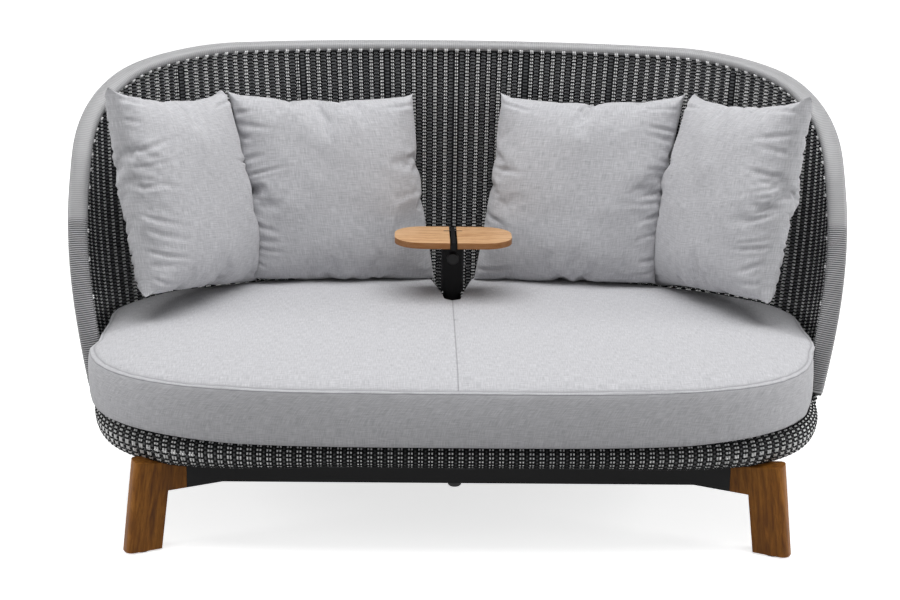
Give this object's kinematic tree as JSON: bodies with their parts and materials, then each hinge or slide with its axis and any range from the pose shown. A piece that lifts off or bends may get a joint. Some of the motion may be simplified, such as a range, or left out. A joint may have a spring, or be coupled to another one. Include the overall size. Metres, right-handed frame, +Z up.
{
  "type": "outdoor daybed",
  "caption": "Outdoor daybed with a high woven basket back, wound rim, splayed teak legs, notched seat cushion, scatter cushions and a small swivelling teak table on a post.",
  "frame": {"origin": "centre of the overall bounding box in plan, at floor level under the leg glides", "axes": "+Z up, +X across the seat towards the sitter's left hand, -Y out of the front of the seat"},
  "size_m": [1.833, 1.036, 1.0285],
  "materials": {
    "black_coated_steel": "satin powder coat",
    "black_nylon": "matt",
    "leg_teak": "oiled, satin",
    "plain_steel": "plain",
    "frame_aluminium": "mill finish",
    "light_strand": "matt extruded strand",
    "dark_weave": "matt extruded strand",
    "white_nylon": "matt",
    "table_teak": "fine sanded, matt",
    "seat_fabric": "woven outdoor fabric",
    "scatter_fabric": "woven outdoor fabric"
  },
  "bodies": {
    "frame": {"base_rail_front": "black_coated_steel", "base_rail_rear": "black_coated_steel", "rail_plug": "black_nylon", "leg_front_left": "leg_teak", "leg_front_right": "leg_teak", "leg_rear_left": "leg_teak", "leg_rear_right": "leg_teak", "leg_tenons": "plain_steel", "leg_bolts": "plain_steel", "leg_glides": "black_nylon", "cross_rails": "frame_aluminium", "frame_bolts": "plain_steel", "seat_slats": "frame_aluminium", "seat_ring": "frame_aluminium", "back_uprights": "frame_aluminium", "rim_tube": "frame_aluminium", "rim_binding": "light_strand", "woven_basket": "dark_weave", "table_post": "black_coated_steel", "post_pin": "plain_steel", "post_cap": "white_nylon"},
    "table_bushes": {"bush_lower": "white_nylon", "bush_upper": "white_nylon"},
    "table": {"swivel_sleeve": "black_coated_steel", "table_bracket": "black_coated_steel", "bracket_screws": "plain_steel", "table_half_left": "table_teak", "table_half_right": "table_teak"},
    "knob": {"clamp_screw": "plain_steel", "clamp_knob": "black_nylon"},
    "seat_cushion": {"seat_cushion": "seat_fabric"},
    "scatter_outer_left": {"scatter_outer_left": "scatter_fabric"},
    "scatter_inner_left": {"scatter_inner_left": "scatter_fabric"},
    "scatter_inner_right": {"scatter_inner_right": "scatter_fabric"},
    "scatter_outer_right": {"scatter_outer_right": "scatter_fabric"}
  },
  "joints": [
    {"name": "table_lift", "type": "slide", "parent": "frame", "child": "table_bushes", "axis": [0, 0, 1], "range_m": [0, 0.04]},
    {"name": "table_swivel", "type": "hinge", "parent": "table_bushes", "child": "table", "pos_m": [-0.009, 0.215, 0.5], "axis": [0, 0, 1], "range_deg": [-60, 60]},
    {"name": "knob_turn", "type": "hinge", "parent": "table", "child": "knob", "pos_m": [-0.009, 0.18, 0.531], "axis": [0, -1, 0], "range_deg": [0, 180]},
    {"name": "seat_cushion_slide", "type": "slide", "parent": "frame", "child": "seat_cushion", "axis": [0, -1, 0], "range_m": [0, 0.09]},
    {"name": "outer_left_lift", "type": "slide", "parent": "frame", "child": "scatter_outer_left", "axis": [0, -0.1191, 0.9929], "range_m": [0, 0.5]},
    {"name": "inner_left_lift", "type": "slide", "parent": "frame", "child": "scatter_inner_left", "axis": [0, 0, 1], "range_m": [0, 0.5]},
    {"name": "inner_right_lift", "type": "slide", "parent": "frame", "child": "scatter_inner_right", "axis": [0, 0, 1], "range_m": [0, 0.5]},
    {"name": "outer_right_lift", "type": "slide", "parent": "frame", "child": "scatter_outer_right", "axis": [0, -0.1191, 0.9929], "range_m": [0, 0.5]}
  ]
}
